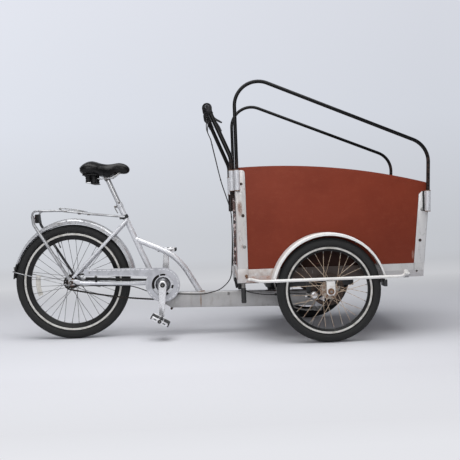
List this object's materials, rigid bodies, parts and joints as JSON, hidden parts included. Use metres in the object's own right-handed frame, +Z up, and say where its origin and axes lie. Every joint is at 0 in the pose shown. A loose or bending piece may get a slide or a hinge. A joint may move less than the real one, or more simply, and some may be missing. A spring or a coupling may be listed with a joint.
{
  "type": "three-wheeled cargo bike with a front load box",
  "caption": "Pedal tricycle with a steered open load box between two front wheels, hoops for a cover, and one driven rear wheel.",
  "frame": {"origin": "on the floor, below the middle of the whole machine", "axes": "+X forward, +Y to the rider's left, +Z up"},
  "size_m": [2.1258, 0.878, 1.2507],
  "materials": {
    "silver_paint": "silver grey paint, scratched",
    "aluminium": "bare aluminium, stained",
    "chrome": "chromed steel tube",
    "black_paint": "semi-gloss black paint",
    "steel": "zinc plated steel, dull",
    "rusty_steel": "rusted steel",
    "tyre_rubber": "worn tyre rubber",
    "red_board": "red-brown film-faced plywood",
    "saddle_cover": "black vinyl saddle cover",
    "foam": "black foam",
    "reflector_red": "dark red reflector",
    "cable_housing": "black cable housing"
  },
  "bodies": {
    "frame": {"main_beam": "silver_paint", "steering_head": "silver_paint", "seat_tube": "silver_paint", "top_tube": "silver_paint", "bottom_bracket_shell": "silver_paint", "chainstays": "silver_paint", "seatstays": "silver_paint", "rear_axle": "steel", "seat_post": "aluminium", "seat_clamp": "black_paint", "saddle": "saddle_cover", "saddle_frame": "steel", "rear_fender": "silver_paint", "rear_fender_stay": "chrome", "rear_rack": "chrome", "tail_reflector": "reflector_red", "chain": "rusty_steel", "chain_guard": "silver_paint", "brake_arm": "steel", "gear_cable": "cable_housing"},
    "rear_wheel": {"rear_tyre": "tyre_rubber", "rear_wheel": "steel"},
    "crank": {"crank_right": "silver_paint", "crank_left": "silver_paint"},
    "pedal_right": {"pedal_right": "black_paint"},
    "pedal_left": {"pedal_left": "black_paint"},
    "front_unit": {"bottom_rail": "aluminium", "panel_right": "red_board", "panel_left": "red_board", "box_floor": "red_board", "panel_rear": "red_board", "panel_front": "red_board", "corner_rear_right": "aluminium", "corner_rear_left": "aluminium", "corner_front_right": "aluminium", "corner_front_left": "aluminium", "hoop_right": "black_paint", "hoop_left": "black_paint", "handlebar": "black_paint", "grip_right": "foam", "grip_left": "foam", "brake_lever_right": "black_paint", "brake_lever_left": "black_paint", "underframe": "black_paint", "stop_peg_right": "black_paint", "stop_peg_left": "black_paint", "axle_right": "aluminium", "axle_left": "aluminium", "side_bar_right": "chrome", "side_bar_left": "chrome", "fender_right": "aluminium", "fender_left": "aluminium", "caliper_right": "steel", "caliper_left": "steel", "steering_pin": "steel", "brake_cable": "cable_housing"},
    "front_wheel_right": {"tyre_right": "tyre_rubber", "wheel_right": "rusty_steel"},
    "front_wheel_left": {"tyre_left": "tyre_rubber", "wheel_left": "rusty_steel"}
  },
  "joints": [
    {"name": "steering", "type": "hinge", "parent": "frame", "child": "front_unit", "pos_m": [0.55166, 0, 0.262], "axis": [0, 0, 1], "range_deg": [-30, 30], "deforming": ["gear_cable"]},
    {"name": "rear_wheel_spin", "type": "hinge", "parent": "frame", "child": "rear_wheel", "pos_m": [-0.73234, 0, 0.3], "axis": [0, 1, 0], "continuous": true},
    {"name": "front_wheel_right_spin", "type": "hinge", "parent": "front_unit", "child": "front_wheel_right", "pos_m": [0.55166, -0.365, 0.2475], "axis": [0, 1, 0], "continuous": true},
    {"name": "front_wheel_left_spin", "type": "hinge", "parent": "front_unit", "child": "front_wheel_left", "pos_m": [0.55166, 0.365, 0.2475], "axis": [0, 1, 0], "continuous": true},
    {"name": "crank_spin", "type": "hinge", "parent": "frame", "child": "crank", "pos_m": [-0.25834, 0, 0.2716], "axis": [0, 1, 0], "continuous": true},
    {"name": "pedal_right_spin", "type": "hinge", "parent": "crank", "child": "pedal_right", "pos_m": [-0.2702, -0.154, 0.10201], "axis": [0, 1, 0], "continuous": true},
    {"name": "pedal_left_spin", "type": "hinge", "parent": "crank", "child": "pedal_left", "pos_m": [-0.24648, 0.154, 0.44119], "axis": [0, 1, 0], "continuous": true}
  ]
}
